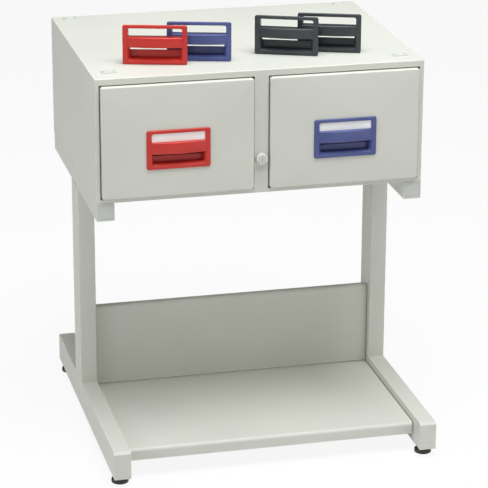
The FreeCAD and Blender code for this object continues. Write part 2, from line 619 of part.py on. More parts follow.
def handle_shape():
    """A clip-in handle: flange, label window, bulging grip bar and finger pocket.

    It stands on its lower edge at z = 0, middle at x = 0, and seats against y = 0.
    """
    flange = centred("handle_width", "handle_flange", "handle_height", "0", "-handle_flange", "0")
    flange = rounded(flange, "handle_corner", edges_along(Y))
    flange = rounded(flange, "handle_round", edges_on("YMin"))
    sleeve = centred("sleeve_width", "sleeve_depth", "sleeve_height", "0", "0", "sleeve_margin")
    crown = "((window_width / 2) ^ 2 + bar_crown ^ 2) / (2 * bar_crown)"
    arch = rod(crown, "bar_height", "0", f"{crown} - handle_flange - bar_proud", "bar_z")
    grip = common(arch, centred("pocket_width", "bar_proud + handle_flange", "bar_height", "0",
                                "-handle_flange - bar_proud", "bar_z"))
    blank = join(flange, sleeve, grip)
    through = "handle_flange + bar_proud + sleeve_depth + 2 * overrun"
    window = centred("window_width", through, "window_height", "0",
                     "-handle_flange - bar_proud - overrun", "window_z")
    label_bay = centred("window_width + 2 * label_margin", "sleeve_depth + overrun",
                        "window_height + label_margin", "0", "0", "window_z - label_margin / 2")
    front_pocket = centred("pocket_width", "handle_flange + sleeve_depth - sleeve_wall",
                           "bar_z - pocket_floor", "0", "-handle_flange", "pocket_floor")
    behind_bar = centred("pocket_width", "handle_flange + sleeve_depth - sleeve_wall - bar_thickness",
                         "bar_z + bar_height - pocket_floor - 2 * sleeve_wall", "0",
                         "bar_thickness - handle_flange", "pocket_floor")
    inside_arch = common(rod(f"{crown} - bar_thickness", "bar_height - 2 * bar_thickness", "0",
                             f"{crown} - handle_flange - bar_proud", "bar_z - bar_thickness"),
                         centred("pocket_width - 2 * bar_thickness", "bar_proud + handle_flange",
                                 "bar_height", "0", "-handle_flange - bar_proud", "bar_z - bar_thickness"))
    slit = centred("pocket_width", "2 * sleeve_wall", "pocket_slit", "0",
                   "sleeve_depth - 1.5 * sleeve_wall", "bar_z - pocket_slit")
    return cut(blank, window, label_bay, front_pocket, behind_bar, inside_arch, slit)


def make_handles():
    """The two fitted handles with their label cards, and the four spares on the top."""
    for word, side in (("left", "-"), ("right", "+")):
        centre = f"0 {side} opening_centre"
        subpart(f"handle_{word}", place(handle_shape(), centre, "front_y - front_proud", "handle_z"))
        card = centred("window_width + 2 * label_margin - 2 * label_clearance", "label_sheet",
                       "window_height + label_margin - 2 * label_clearance", centre,
                       "front_y - front_proud", "handle_z + window_z - label_margin / 2 + label_clearance")
        subpart(f"label_card_{word}", card)
    for name in ("red", "blue", "black_front", "black_rear"):
        turn = Rotation(Z, sheet.get(f"{name}_turn"))
        spare = place(handle_shape(), f"{name}_x", f"front_y + {name}_back", "cabinet_top", turn)
        subpart(f"spare_handle_{name}", spare)


# -------------------------------------------------------------------------------------- lock
def make_lock():
    """The key lock in the post, its cam, and the bar that it raises to catch both drawers."""
    head = rounded(rod("lock_head_radius", "lock_head", "0", "front_y", "lock_z", -Y),
                   "lock_round", edges_on("YMin"))
    barrel = rod("lock_barrel_radius", "lock_barrel", "0", "front_y", "lock_z", Y)
    bore = rod("plug_radius + plug_clearance", "lock_head + lock_barrel + 2 * overrun", "0",
               "front_y - lock_head - overrun", "lock_z", Y)
    subpart("lock_housing", cut(join(head, barrel), bore))
    ring = hexagon("lock_nut_radius", "lock_nut", "0", "front_y + sheet", "lock_z", Y)
    eye = rod("lock_barrel_radius + stem_clearance", "lock_nut + 2 * overrun", "0",
              "front_y + sheet - overrun", "lock_z", Y)
    subpart("lock_nut", cut(ring, eye))
    plug = rod("plug_radius", "lock_head + plug_proud + cam_y - front_y", "0",
               "front_y - lock_head - plug_proud", "lock_z", Y)
    keyway = centred("keyway_width", "keyway_depth", "keyway_height", "0",
                     "front_y - lock_head - plug_proud - overrun", "lock_z - keyway_height / 2")
    subpart("lock_cylinder", cut(plug, keyway))
    hub = rod("plug_radius", "cam_sheet", "0", "cam_y", "lock_z", Y)
    arm_end = rod("2 * cam_pin_radius", "cam_sheet", "cam_arm", "cam_y", "lock_z - cam_arm", Y)
    pin = rod("cam_pin_radius", "cam_sheet + cam_pin", "cam_arm", "cam_y", "lock_z - cam_arm", Y)
    subpart("lock_cam", join(hub, arm_end, pin))
    bar = centred("bar_width", "bar_sheet", "bar_length", "0", "bar_y", "cabinet_bottom + bar_foot")
    slot_half = "(cam_pin_radius + cam_slack)"
    slot = block(f"cam_radius - cam_arm + 2 * {slot_half} + 2 * cam_over", "3 * bar_sheet",
                 f"2 * {slot_half}", f"cam_arm - {slot_half} - cam_over", "bar_y - bar_sheet",
                 f"lock_z - cam_arm - {slot_half}")
    stud = rod("stud_radius", "2 * stud_reach", "-stud_reach", "stud_y", "stud_z", X)
    subpart("lock_bar", join(cut(bar, slot), stud))
    guides = []
    for z in ("cabinet_bottom + guide_rise", "cabinet_top - guide_drop"):
        body = centred("post_width - 2 * sheet", "bar_sheet + 2 * guide_slack + 2 * guide_wall",
                       "guide_height", "0", "bar_y - guide_slack - guide_wall", z)
        gap = centred("bar_width + 2 * guide_slack", "bar_sheet + 2 * guide_slack",
                      "guide_height + 2 * overrun", "0", "bar_y - guide_slack", f"{z} - overrun")
        guides.append(cut(body, gap))
    subpart("lock_bar_guides", group(*guides))


# ------------------------------------------------------------------------------- whole thing
def build():
    """Make every sub-part."""
    make_carcass()
    make_cabinet_panels()
    make_slide_channels()
    make_stacking_pads()
    make_top_beams()
    make_uprights_and_feet()
    make_levelling_feet()
    make_stretchers()
    for word, side in (("left", "-"), ("right", "+")):
        centre = f"0 {side} opening_centre"
        make_slides(word, centre)
        make_tray(word, centre)
        make_drawer_front(word, centre)
        make_catch(word, side, centre)
    make_handles()
    make_lock()


def check():
    """Stop if an object failed or a sub-part has no sound shape."""
    for thing in doc.Objects:
        if "Invalid" in thing.State or "Error" in thing.State:
            raise RuntimeError(f"{thing.Label} ({thing.Name}) failed: {thing.State}")
    for thing in SUBPARTS:
        if thing.Shape.isNull() or not thing.Shape.isValid() or not thing.Shape.Solids:
            raise RuntimeError(f"{thing.Label} has no sound shape")


build()
doc.recompute()
check()
os.makedirs("parts", exist_ok=True)
for piece in SUBPARTS:
    piece.Shape.exportStep(f"parts/{piece.Label}.step")
print(len(SUBPARTS), "sub-parts written")
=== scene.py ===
"""Looks of a two-drawer steel card cabinet on its stand, with fitted and loose handles.

Metres, +Z up, the drawer fronts facing -Y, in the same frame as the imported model.
"""
import json
import math

import bpy
import numpy as np
from mathutils import Matrix, Vector


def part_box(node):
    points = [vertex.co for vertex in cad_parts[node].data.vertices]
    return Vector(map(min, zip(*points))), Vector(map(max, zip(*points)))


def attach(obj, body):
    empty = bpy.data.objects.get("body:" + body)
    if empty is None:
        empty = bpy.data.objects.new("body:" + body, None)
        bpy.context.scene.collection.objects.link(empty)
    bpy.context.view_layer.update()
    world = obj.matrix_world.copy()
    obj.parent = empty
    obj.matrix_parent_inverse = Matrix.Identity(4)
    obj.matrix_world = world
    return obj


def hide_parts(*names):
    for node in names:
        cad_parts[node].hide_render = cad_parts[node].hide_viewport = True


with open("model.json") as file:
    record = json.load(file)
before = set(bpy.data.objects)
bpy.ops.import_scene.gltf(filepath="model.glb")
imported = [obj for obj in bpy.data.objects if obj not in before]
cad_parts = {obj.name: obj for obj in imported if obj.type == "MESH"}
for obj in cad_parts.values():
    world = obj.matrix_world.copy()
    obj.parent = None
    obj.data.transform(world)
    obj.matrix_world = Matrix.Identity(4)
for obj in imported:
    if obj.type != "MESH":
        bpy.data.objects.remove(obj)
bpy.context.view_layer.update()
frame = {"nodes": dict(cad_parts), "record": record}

MM = 0.001
SIDES = ("left", "right")


# ------------------------------------------------------------------------------ shader maths
class Reading:
    """A number on a node's output, which the usual signs add to, multiply or compare."""

    def __init__(self, finish, socket):
        self.finish = finish
        self.socket = socket

    def reckon(self, operation, first, second=0.0):
        return self.finish.node("Math", {"operation": operation}, {0: first, 1: second})

    def __add__(self, other):
        return self.reckon("ADD", self, other)

    def __sub__(self, other):
        return self.reckon("SUBTRACT", self, other)

    def __mul__(self, other):
        return self.reckon("MULTIPLY", self, other)

    def __truediv__(self, other):
        return self.reckon("DIVIDE", self, other)

    def __rsub__(self, other):
        return self.reckon("SUBTRACT", other, self)

    __radd__ = __add__
    __rmul__ = __mul__

    def least(self, other):
        return self.reckon("MINIMUM", self, other)

    def most(self, other):
        return self.reckon("MAXIMUM", self, other)

    def size(self):
        return self.reckon("ABSOLUTE", self)

    def step(self, low, high):
        """A smooth rise from 0 at low to 1 at high, or a fall where low is above high."""
        start, end = (low, high) if low < high else (high, low)
        names = {"From Min": start, "From Max": end}
        if low > high:
            names.update({"To Min": 1.0, "To Max": 0.0})
        return self.finish.node("MapRange", {"interpolation_type": "SMOOTHSTEP"},
                                {"Value": self, **names})


class Finish:
    """A material in the making: its nodes, the readings of its patterns and its surface."""

    def __init__(self, name):
        self.material = bpy.data.materials.new(name)
        self.material.use_nodes = True
        self.tree = self.material.node_tree
        self.tree.nodes.clear()
        self.place = self.node("TexCoord", output="Object")

    def node(self, kind, settings=None, values=None, output=0):
        """Add a node: its settings first, then the number or link of each named socket."""
        made = self.tree.nodes.new("ShaderNode" + kind)
        for name, setting in (settings or {}).items():
            setattr(made, name, setting)
        for name, value in (values or {}).items():
            if isinstance(value, Reading):
                self.tree.links.new(value.socket, made.inputs[name])
            else:
                made.inputs[name].default_value = value
        return Reading(self, made.outputs[output])

    def stretched(self, x, y, z):
        """The object's coordinates, drawn out by a scale along each axis."""
        return self.node("Mapping", None, {"Vector": self.place, "Scale": (x, y, z)})

    def noise(self, scale, detail=2.0, roughness=0.5, across=None):
        """A cloudy pattern about 0.5, with so many clouds a metre."""
        return self.node("TexNoise", None, {"Vector": across or self.place, "Scale": scale,
                                            "Detail": detail, "Roughness": roughness})

    def cells(self, scale, across=None):
        """The distance to the middle of the nearest of so many random cells a metre."""
        return self.node("TexVoronoi", None, {"Vector": across or self.place, "Scale": scale})

    def tint(self, amount, first, second):
        """A colour between two others."""
        made = self.tree.nodes.new("ShaderNodeMix")
        made.data_type = "RGBA"
        for socket, value in ((0, amount), (6, first), (7, second)):
            if isinstance(value, Reading):
                self.tree.links.new(value.socket, made.inputs[socket])
            else:
                made.inputs[socket].default_value = value if socket == 0 else (*value, 1.0)
        return Reading(self, made.outputs[2])

    def relief(self, height, distance, strength=1.0, below=None):
        """A bump of a real depth in metres from a height between 0 and 1."""
        values = {"Height": height, "Distance": distance, "Strength": strength}
        if below is not None:
            values["Normal"] = below
        return self.node("Bump", None, values)

    def axes(self):
        """The three object coordinates as separate numbers."""
        parts = self.node("SeparateXYZ", None, {"Vector": self.place})
        outputs = parts.socket.node.outputs
        return [Reading(self, outputs[axis]) for axis in "XYZ"]

    def near_edges(self, low, high, reach):
        """1 along the edges of a box and 0 further in than reach.

        The distance to an edge is the middle one of the distances to the nearest side
        along each of the three axes.
        """
        gaps = []
        for reading, start, end in zip(self.axes(), low, high):
            gaps.append((end - start) / 2 - (reading - (start + end) / 2).size())
        first, second, third = gaps
        middle = first.least(second).most(first.most(second).least(third))
        return middle.step(reach, 0.0)

    def surface(self, **values):
        """The principled surface with these sockets, and the material itself."""
        named = {name.replace("_", " "): value for name, value in values.items()}
        shader = self.node("BsdfPrincipled", None, named)
        return self.ends_in(shader)

    def ends_in(self, shader):
        """Link a shader to the output and hand back the material."""
        made = self.tree.nodes.new("ShaderNodeOutputMaterial")
        self.tree.links.new(shader.socket, made.inputs["Surface"])
        return self.material


# --------------------------------------------------------------------------------- materials
def powder_coat(name, colour, box):
    """Satin powder coat on steel: a fine orange-peel skin, faint clouds and rubbed edges."""
    finish = Finish(name)
    low, high = box
    clouds = finish.noise(3.0, 3.0)
    specks = finish.noise(1400.0, 1.0)
    peel = finish.noise(520.0, 2.0, 0.45)
    scuffs = finish.noise(38.0, 4.0, 0.65)
    edges = finish.near_edges(low, high, 7 * MM)
    rubbed = edges * scuffs.step(0.40, 0.66)
    shade = tuple(channel * 0.955 for channel in colour)
    bright = tuple(min(1.0, channel * 1.035) for channel in colour)
    pale = tuple(min(1.0, channel * 1.10) for channel in colour)
    base = finish.tint(clouds.step(0.30, 0.70) * 0.7 + specks * 0.3, shade, bright)
    base = finish.tint(rubbed * 0.6, base, pale)
    rough = 0.40 + clouds * 0.08 + rubbed * 0.08 + specks * 0.04
    skin = finish.relief(peel, 0.09 * MM, 0.55)
    skin = finish.relief(specks, 0.02 * MM, 0.5, skin)
    return finish.surface(Base_Color=base, Roughness=rough, Normal=skin, Specular_IOR_Level=0.42)


def moulded(name, colour, worn, rough, grain=1.0):
    """Moulded plastic with a fine spark-eroded grain, flow clouds and a few dull rub marks."""
    finish = Finish(name)
    clouds = finish.noise(16.0, 3.0)
    sparks = finish.cells(1500.0)
    flow = finish.noise(26.0, 3.0, 0.6, finish.stretched(0.25, 1.0, 1.0))
    rubs = finish.noise(90.0, 5.0, 0.7, finish.stretched(1.0, 1.0, 0.22)).step(0.57, 0.72)
    base = finish.tint(clouds.step(0.25, 0.75) * 0.55 + flow * 0.25 + rubs * 0.16, colour, worn)
    gloss = rough + clouds * 0.07 + rubs * 0.12
    skin = finish.relief(sparks, 0.035 * MM * grain, 0.5)
    return finish.surface(Base_Color=base, Roughness=gloss, Normal=skin, Specular_IOR_Level=0.5)


def zinc_plate(name):
    """Bright zinc plate: faint blue and straw patches over fine drawn lines."""
    finish = Finish(name)
    patches = finish.noise(55.0, 3.0, 0.6)
    lines = finish.noise(420.0, 3.0, 0.6, finish.stretched(1.0, 0.04, 1.0))
    cool = finish.tint(lines.step(0.3, 0.7), (0.50, 0.53, 0.57), (0.66, 0.68, 0.70))
    base = finish.tint(patches.step(0.45, 0.75) * 0.35, cool, (0.62, 0.60, 0.50))
    rough = 0.24 + lines * 0.16 + patches * 0.08
    skin = finish.relief(lines, 0.02 * MM, 0.5)
    return finish.surface(Base_Color=base, Metallic=1.0, Roughness=rough, Normal=skin)


def nickel_plate(name):
    """Satin nickel with rings turned about the lock's own middle line."""
    finish = Finish(name)
    low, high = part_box("lock_cylinder")
    across, _, up = finish.axes()
    off_x = across - (low.x + high.x) / 2
    off_z = up - (low.z + high.z) / 2
    squared = off_x * off_x + off_z * off_z
    radius = squared.reckon("POWER", squared, 0.5)
    rings = finish.node("Math", {"operation": "SINE"}, {0: radius * 21000.0}) * 0.5 + 0.5
    smears = finish.noise(300.0, 3.0)
    base = finish.tint(rings * 0.4 + smears * 0.4, (0.56, 0.55, 0.51), (0.74, 0.73, 0.69))
    skin = finish.relief(rings, 0.01 * MM, 0.5)
    return finish.surface(Base_Color=base, Metallic=1.0, Roughness=0.26 + smears * 0.14, Normal=skin)


def label_card(name):
    """Uncoated white card with faint fibres and faint clouds of a slightly warmer white."""
    finish = Finish(name)
    fibres = finish.noise(900.0, 4.0, 0.7, finish.stretched(0.3, 1.0, 1.0))
    clouds = finish.noise(60.0, 2.0)
    base = finish.tint(fibres * 0.5 + clouds * 0.3, (0.97, 0.97, 0.96), (0.93, 0.93, 0.91))
    skin = finish.relief(fibres, 0.03 * MM, 0.5)
    return finish.surface(Base_Color=base, Roughness=0.78 + fibres * 0.12, Normal=skin)


STEEL_GREY = (0.592, 0.604, 0.548)
MATERIALS = {
    "grey_plastic": moulded("grey_plastic", (0.50, 0.52, 0.49), (0.58, 0.60, 0.57), 0.52),
    "black_plastic": moulded("black_plastic", (0.018, 0.018, 0.018), (0.05, 0.05, 0.05), 0.50),
    "red_plastic": moulded("red_plastic", (0.47, 0.013, 0.009), (0.56, 0.034, 0.022), 0.30),
    "blue_plastic": moulded("blue_plastic", (0.045, 0.062, 0.21), (0.080, 0.100, 0.27), 0.32),
    "anthracite_plastic": moulded("anthracite_plastic", (0.020, 0.025, 0.030),
                                  (0.045, 0.052, 0.060), 0.34),
    "label_paper": label_card("label_paper"),
    "lock_grey": moulded("lock_grey", (0.54, 0.555, 0.53), (0.62, 0.635, 0.61), 0.38, 0.6),
    "lock_metal": nickel_plate("lock_metal"),
    "zinc_steel": zinc_plate("zinc_steel"),
}
SLOTS = {row["node"]: row["material_slot"] for row in frame["record"]["subparts"]}


def dress(piece, slot, box_node=None):
    """Give a piece its one material: painted sheets get their own, for their own edges."""
    if slot in MATERIALS:
        material = MATERIALS[slot]
    else:
        material = powder_coat("paint_" + piece.name, STEEL_GREY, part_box(box_node or piece.name))
    piece.data.materials.clear()
    piece.data.materials.append(material)


# ------------------------------------------------------------------------------ mesh helpers
REPLACED = set()
CORNER_STEPS = 8
SMOOTH_BELOW = math.radians(38)


def oval(width, height, radius, across=0.0, up=0.0, depth=0.0):
    """A rounded rectangle in a plane of constant depth, as rows of (across, depth, up).

    Each corner is a quarter circle whose centre lies in from both sides by its radius;
    a circle is an oval whose width and height are both twice its radius.
    """
    quarter = np.linspace(0.0, 0.5, CORNER_STEPS + 1)[None, :]
    angle = (np.arange(4)[:, None] * 0.5 + quarter) * math.pi
    middle_x = np.array([1, -1, -1, 1])[:, None] * (width / 2 - radius)
    middle_z = np.array([1, 1, -1, -1])[:, None] * (height / 2 - radius)
    x = (middle_x + radius * np.cos(angle)).ravel() + across
    z = (middle_z + radius * np.sin(angle)).ravel() + up
    return np.stack([x, np.full_like(x, depth), z], axis=1)


def skin(rings, closed=False):
    """A shell through rings of equal length: a tube closed on itself, or with its ends filled.

    Four-sided faces join each point to its neighbour and to the same points of the next
    ring. The signed volume, a third of the sum of each face's centre times its area vector,
    tells whether the faces point outwards; if it is negative they are all turned round.
    """
    grid = np.stack(rings)
    count, around = grid.shape[:2]
    first = np.arange(count if closed else count - 1)[:, None]
    second = (first + 1) % count
    here = np.arange(around)[None, :]
    after = (here + 1) % around
    faces = np.stack([first * around + here, first * around + after,
                      second * around + after, second * around + here], axis=2).reshape(-1, 4)
    points = grid.reshape(-1, 3)
    a, b, c, d = (points[faces[:, k]] for k in range(4))
    area = np.cross(c - a, d - b) / 2
    volume = ((a + b + c + d) / 4 * area).sum()
    listed = faces.tolist()
    if not closed:
        listed.append(list(range(around))[::-1])
        listed.append(list(range((count - 1) * around, count * around)))
        for ring, sign in ((grid[0], -1), (grid[-1], 1)):
            spoke = ring - ring.mean(axis=0)
            facing = np.cross(spoke, np.roll(spoke, -1, axis=0)).sum(axis=0) / 2
            volume += sign * (ring.mean(axis=0) * facing).sum()
    if volume < 0:
        listed = [face[::-1] for face in listed]
    return points, listed


def turned(rows, steps, axis_point, along="Y", closed=False):
    """A lathe shape: each (radius, depth) row is a circle about the axis through a point."""
    angle = np.linspace(0, 2 * math.pi, steps, endpoint=False)
    rings = []
    for radius, depth in rows:
        one = axis_point[0] + radius * np.cos(angle)
        two = radius * np.sin(angle)
        if along == "Y":
            ring = [one, np.full_like(one, axis_point[1] + depth), axis_point[2] + two]
        else:
            ring = [one, axis_point[1] + two, np.full_like(one, axis_point[2] + depth)]
        rings.append(np.stack(ring, axis=1))
    return skin(rings, closed)


def piece_of(name, shells, body, slot, replaced, box_node=None, smooth=SMOOTH_BELOW):
    """One mesh object from closed shells in metres, riding on its body in its finish."""
    points, faces, start = [], [], 0
    for shell_points, shell_faces in shells:
        points.append(shell_points)
        faces.extend([[start + index for index in face] for face in shell_faces])
        start += len(shell_points)
    mesh = bpy.data.meshes.new(name)
    mesh.from_pydata(np.concatenate(points).tolist(), [], faces)
    mesh.polygons.foreach_set("use_smooth", np.ones(len(faces), dtype=bool))
    mesh.set_sharp_from_angle(angle=smooth)
    mesh.update()
    piece = bpy.data.objects.new(name, mesh)
    bpy.context.scene.collection.objects.link(piece)
    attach(piece, body)
    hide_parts(*replaced)
    REPLACED.update(replaced)
    dress(piece, slot, box_node)
    return piece


def middle_of(low, high):
    """The middle of a box as three plain numbers."""
    return (low.x + high.x) / 2, (low.y + high.y) / 2, (low.z + high.z) / 2


def level_ring(x, y, z, radius, angle):
    """Points round an upright axis, at one height; the radius may change with the angle."""
    return np.stack([x + radius * np.cos(angle), y + radius * np.sin(angle),
                     np.full(len(angle), z)], axis=1)


def quarter_turn(radius, steps=5):
    """Pairs (in, down) along a quarter circle that rounds an edge from its side to its face."""
    angle = np.linspace(0, math.pi / 2, steps)
    return [(radius * (1 - math.cos(a)), radius * math.sin(a)) for a in angle]


# ----------------------------------------------------------------------------------- handles
# all in millimetres
HANDLE_WIDTH, HANDLE_HEIGHT, FLANGE = 148.0, 92.0, 4.0
FLANGE_CORNER, FLANGE_ROUND = 5.0, 2.2
OPENING_CORNER, OPENING_ROUND = 4.0, 1.6
OPENING_HALF, OPENING_LOW, OPENING_HIGH = 62.0, 9.0, 84.0
SLEEVE_WIDTH, SLEEVE_LOW, SLEEVE_HIGH, SLEEVE_DEPTH = 134.0, 7.0, 85.0, 15.0
BAR_HIGH, BAR_PROUD, BAR_SHEET = 64.0, 6.5, 3.0
FITTED_BAR_LOW, LOOSE_BAR_LOW = 36.5, 40.0
POCKET_LIP_HIGH, WALL_OVERLAP = 45.0, 8.5
WALL_SHEET, WALL_TUCK = 2.0, 0.5
SNAP_LOW, SNAP_HIGH, SNAP_LENGTH = 12.0, 26.0, 14.0


def band(half_width, low, high, radius, depth):
    """An oval given by its half width and its lower and upper heights."""
    return oval(2 * half_width, high - low, radius, 0.0, (low + high) / 2, depth)


def handle_frame():
    """The flange and the sleeve behind it, one closed ring round the handle's opening.

    The section runs up the flange's rounded edge, across its face, round the lip of the
    opening, back along the sleeve's slightly tapered inside and home along its outside.
    """
    half, top = HANDLE_WIDTH / 2, HANDLE_HEIGHT
    rings = [band(half, 0.0, top, FLANGE_CORNER, 0.0)]
    for inset, rise in quarter_turn(FLANGE_ROUND):
        rings.append(band(half - inset, inset, top - inset, FLANGE_CORNER - inset,
                          -(FLANGE - FLANGE_ROUND) - rise))
    for inset, rise in reversed(quarter_turn(OPENING_ROUND)):
        rings.append(band(OPENING_HALF + inset, OPENING_LOW - inset, OPENING_HIGH + inset,
                          OPENING_CORNER + inset, -(FLANGE - OPENING_ROUND) - rise))
    rings.append(band(OPENING_HALF - 0.4, OPENING_LOW + 0.4, OPENING_HIGH - 0.3, 3.6, 6.0))
    rings.append(band(OPENING_HALF - 0.9, OPENING_LOW + 0.9, OPENING_HIGH - 0.6, 3.2,
                      SLEEVE_DEPTH - 0.5))
    rings.append(band(OPENING_HALF - 0.4, OPENING_LOW + 0.4, OPENING_HIGH - 0.1, 3.2,
                      SLEEVE_DEPTH))
    rings.append(band(SLEEVE_WIDTH / 2 - 0.5, SLEEVE_LOW + 0.5, SLEEVE_HIGH - 0.5, 1.5,
                      SLEEVE_DEPTH))
    rings.append(band(SLEEVE_WIDTH / 2, SLEEVE_LOW, SLEEVE_HIGH, 2.0, SLEEVE_DEPTH - 0.5))
    rings.append(band(SLEEVE_WIDTH / 2, SLEEVE_LOW, SLEEVE_HIGH, 2.0, 0.0))
    return skin(rings, closed=True)


def pocket_lip():
    """The sloping rim inside the finger pocket, a closed ring.

    Each inner (in, depth) pair narrows the opening a little more from the face backwards.
    """
    low, high = OPENING_LOW, POCKET_LIP_HIGH
    outer = [band(OPENING_HALF + 0.2, low - 0.2, high, 4.0, depth) for depth in (13.5, -2.6)]
    inner = [band(OPENING_HALF - inset, low + inset, high, 3.0, depth)
             for inset, depth in ((0.4, -3.1), (3.6, 1.2), (4.0, 3.0), (4.4, 13.5))]
    return skin(outer + inner, closed=True)


def arc(centre, radius, start, end, steps):
    """Points on an arc in the side view, as (depth, height), between two angles in degrees."""
    angle = np.radians(np.linspace(start, end, steps))
    return np.stack([centre[0] + radius * np.cos(angle),
                     centre[1] + radius * np.sin(angle)], axis=1)


def grip_bar(low):
    """The bulging bar and the web behind its upper edge, carried from side to side.

    A section point moves back by its share of the fall in the bulge, which grows from the
    middle as the square of the distance, so that both ends lie flush with the flange.
    """
    front = -FLANGE - BAR_PROUD
    inside = front + BAR_SHEET
    section = np.concatenate([
        arc((front + 3.0, BAR_HIGH - 3.0), 3.0, 90, 180, 8),
        arc((front + 1.6, low + 1.6), 1.6, 180, 270, 6),
        arc((inside - 0.9, low + 0.9), 0.9, 270, 360, 5),
        arc((inside + 3.0, BAR_HIGH - 7.0), 3.0, 180, 90, 6)])
    web = np.array([[4.0, BAR_HIGH - 4.0], [SLEEVE_DEPTH - 1.0, BAR_HIGH - 3.6],
                    [SLEEVE_DEPTH - 1.0, BAR_HIGH - 0.3], [4.0, BAR_HIGH]])
    profile = np.concatenate([section, web])
    share = np.concatenate([np.ones(len(section)), np.zeros(len(web))])
    rings = []
    for across in np.linspace(-1.0, 1.0, 49):
        fall = (BAR_PROUD - 0.4) * across ** 2
        ring = np.empty((len(profile), 3))
        ring[:, 0] = across * (OPENING_HALF + 0.8)
        ring[:, 1] = profile[:, 0] + share * fall
        ring[:, 2] = profile[:, 1]
        rings.append(ring)
    return skin(rings)


def rounded_slab(low, high, radius):
    """A slab between two corners with its long edges eased: ovals in planes of depth."""
    width, height = high[0] - low[0], high[2] - low[2]
    across, up = (low[0] + high[0]) / 2, (low[2] + high[2]) / 2
    near = [(inset, low[1] + radius - rise) for inset, rise in quarter_turn(radius, 4)]
    far = [(inset, high[1] - radius + rise) for inset, rise in quarter_turn(radius, 4)]
    return skin([oval(width - 2 * inset, height - 2 * inset, radius * 1.01 - inset * 0.5,
                      across, up, depth) for inset, depth in near[::-1] + far])


def handle_shells(bar_low):
    """Every shell of one handle, in millimetres, standing at the origin and facing -Y.

    Behind the frame, bar and lip come the finger pocket's wall and four snap lugs.
    """
    shells = [handle_frame(), grip_bar(bar_low), pocket_lip()]
    wall_half = OPENING_HALF + WALL_TUCK
    wall_low = (-wall_half, SLEEVE_DEPTH - WALL_SHEET, SLEEVE_LOW + 0.6)
    wall_high = (wall_half, SLEEVE_DEPTH - 0.05, bar_low - WALL_OVERLAP)
    shells.append(rounded_slab(wall_low, wall_high, 0.5))
    for side in (-1, 1):
        for low in (SLEEVE_LOW + SNAP_LOW, SLEEVE_HIGH - SNAP_HIGH):
            x = side * (SLEEVE_WIDTH / 2 + 0.2)
            shells.append(rounded_slab((x - 0.6, 3.0, low), (x + 0.6, 12.0, low + SNAP_LENGTH), 0.4))
    return shells


def placed(shells, place, turn=0.0):
    """Shells in millimetres turned about Z and moved to a place in metres."""
    c, s = math.cos(turn), math.sin(turn)
    swing = np.array([[c, s, 0.0], [-s, c, 0.0], [0.0, 0.0, 1.0]])
    return [(points @ swing * MM + np.array(place), faces) for points, faces in shells]


front_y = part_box("carcass_shell")[0].y
cabinet_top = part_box("carcass_shell")[1].z
for word, slot in zip(SIDES, ("red_plastic", "blue_plastic")):
    low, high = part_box("handle_" + word)
    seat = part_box("drawer_front_" + word)[0].y
    shells = placed(handle_shells(FITTED_BAR_LOW), (middle_of(low, high)[0], seat, low.z))
    piece_of("moulded_handle_" + word, shells, "drawer_" + word, slot, ["handle_" + word])

# the loose handles: middle in X, distance behind the cabinet's front, turn in degrees, finish
SPARES = {"red": (-0.226, 0.099, -16, "red_plastic"),
          "blue": (-0.1215, 0.107, -16, "blue_plastic"),
          "black_front": (0.087, 0.1145, -22, "anthracite_plastic"),
          "black_rear": (0.190, 0.117, -20, "anthracite_plastic")}
for name, (x, back, degrees, slot) in SPARES.items():
    place = (x, front_y + back, cabinet_top)
    shells = placed(handle_shells(LOOSE_BAR_LOW), place, math.radians(degrees))
    piece_of("moulded_spare_" + name, shells, "spare_" + name, slot, ["spare_handle_" + name])


def bowed_card(low, high):
    """A card whose middle bows back by a quarter of a millimetre: depth falls as x squared."""
    x = np.linspace(low.x, high.x, 33)
    half = (high.x - low.x) / 2
    bow = 0.25 * MM * (1 - ((x - middle_of(low, high)[0]) / half) ** 2)
    rings = []
    for place, back in zip(x, bow):
        rings.append(np.array([[place, low.y + back, low.z], [place, low.y + back, high.z],
                               [place, high.y + back, high.z], [place, high.y + back, low.z]]))
    return skin(rings)


for word in SIDES:
    piece_of("card_" + word, [bowed_card(*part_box("label_card_" + word))], "drawer_" + word,
             "label_paper", ["label_card_" + word])


# ----------------------------------------------------------------------------- drawer fronts
def pressed_front(low, high, cutout_low, cutout_high):
    """A pan pressed from sheet: rings from the handle cut-out over the face and the rounded
    edge to the return, then back along the inside of the sheet to the cut-out."""
    sheet, edge, corner = 1.2 * MM, 3.5 * MM, 6.0 * MM
    width, height, depth = high.x - low.x, high.z - low.z, high.y - low.y
    x, _, z = middle_of(low, high)
    front = low.y
    hole = (cutout_high.x - cutout_low.x, cutout_high.z - cutout_low.z)
    hole_x, _, hole_z = middle_of(cutout_low, cutout_high)
    rings = [oval(*hole, 1 * MM, hole_x, hole_z, front + sheet),
             oval(*hole, 1 * MM, hole_x, hole_z, front)]
    for inset, rise in reversed(quarter_turn(edge, 9)):
        rings.append(oval(width - 2 * inset, height - 2 * inset, corner - inset * 0.9, x, z,
                          front + edge - rise))
    rings.append(oval(width, height, corner, x, z, front + depth - 0.3 * MM))
    rings.append(oval(width - 0.6 * MM, height - 0.6 * MM, corner, x, z, front + depth))
    inner = (width - 2 * sheet, height - 2 * sheet)
    rings.append(oval(*inner, corner - sheet, x, z, front + depth))
    for inset, rise in quarter_turn(edge - sheet, 5):
        rings.append(oval(inner[0] - 2 * inset, inner[1] - 2 * inset, corner - sheet - inset * 0.9,
                          x, z, front + edge - rise))
    return skin(rings, closed=True)


for word in SIDES:
    low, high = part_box("drawer_front_" + word)
    handle_low, handle_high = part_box("handle_" + word)
    margin = Vector((6.0, 0.0, 6.0)) * MM
    piece_of("pressed_front_" + word,
             [pressed_front(low, high, handle_low + margin, handle_high - margin)],
             "drawer_" + word, "cabinet_paint", ["drawer_front_" + word], "drawer_front_" + word)


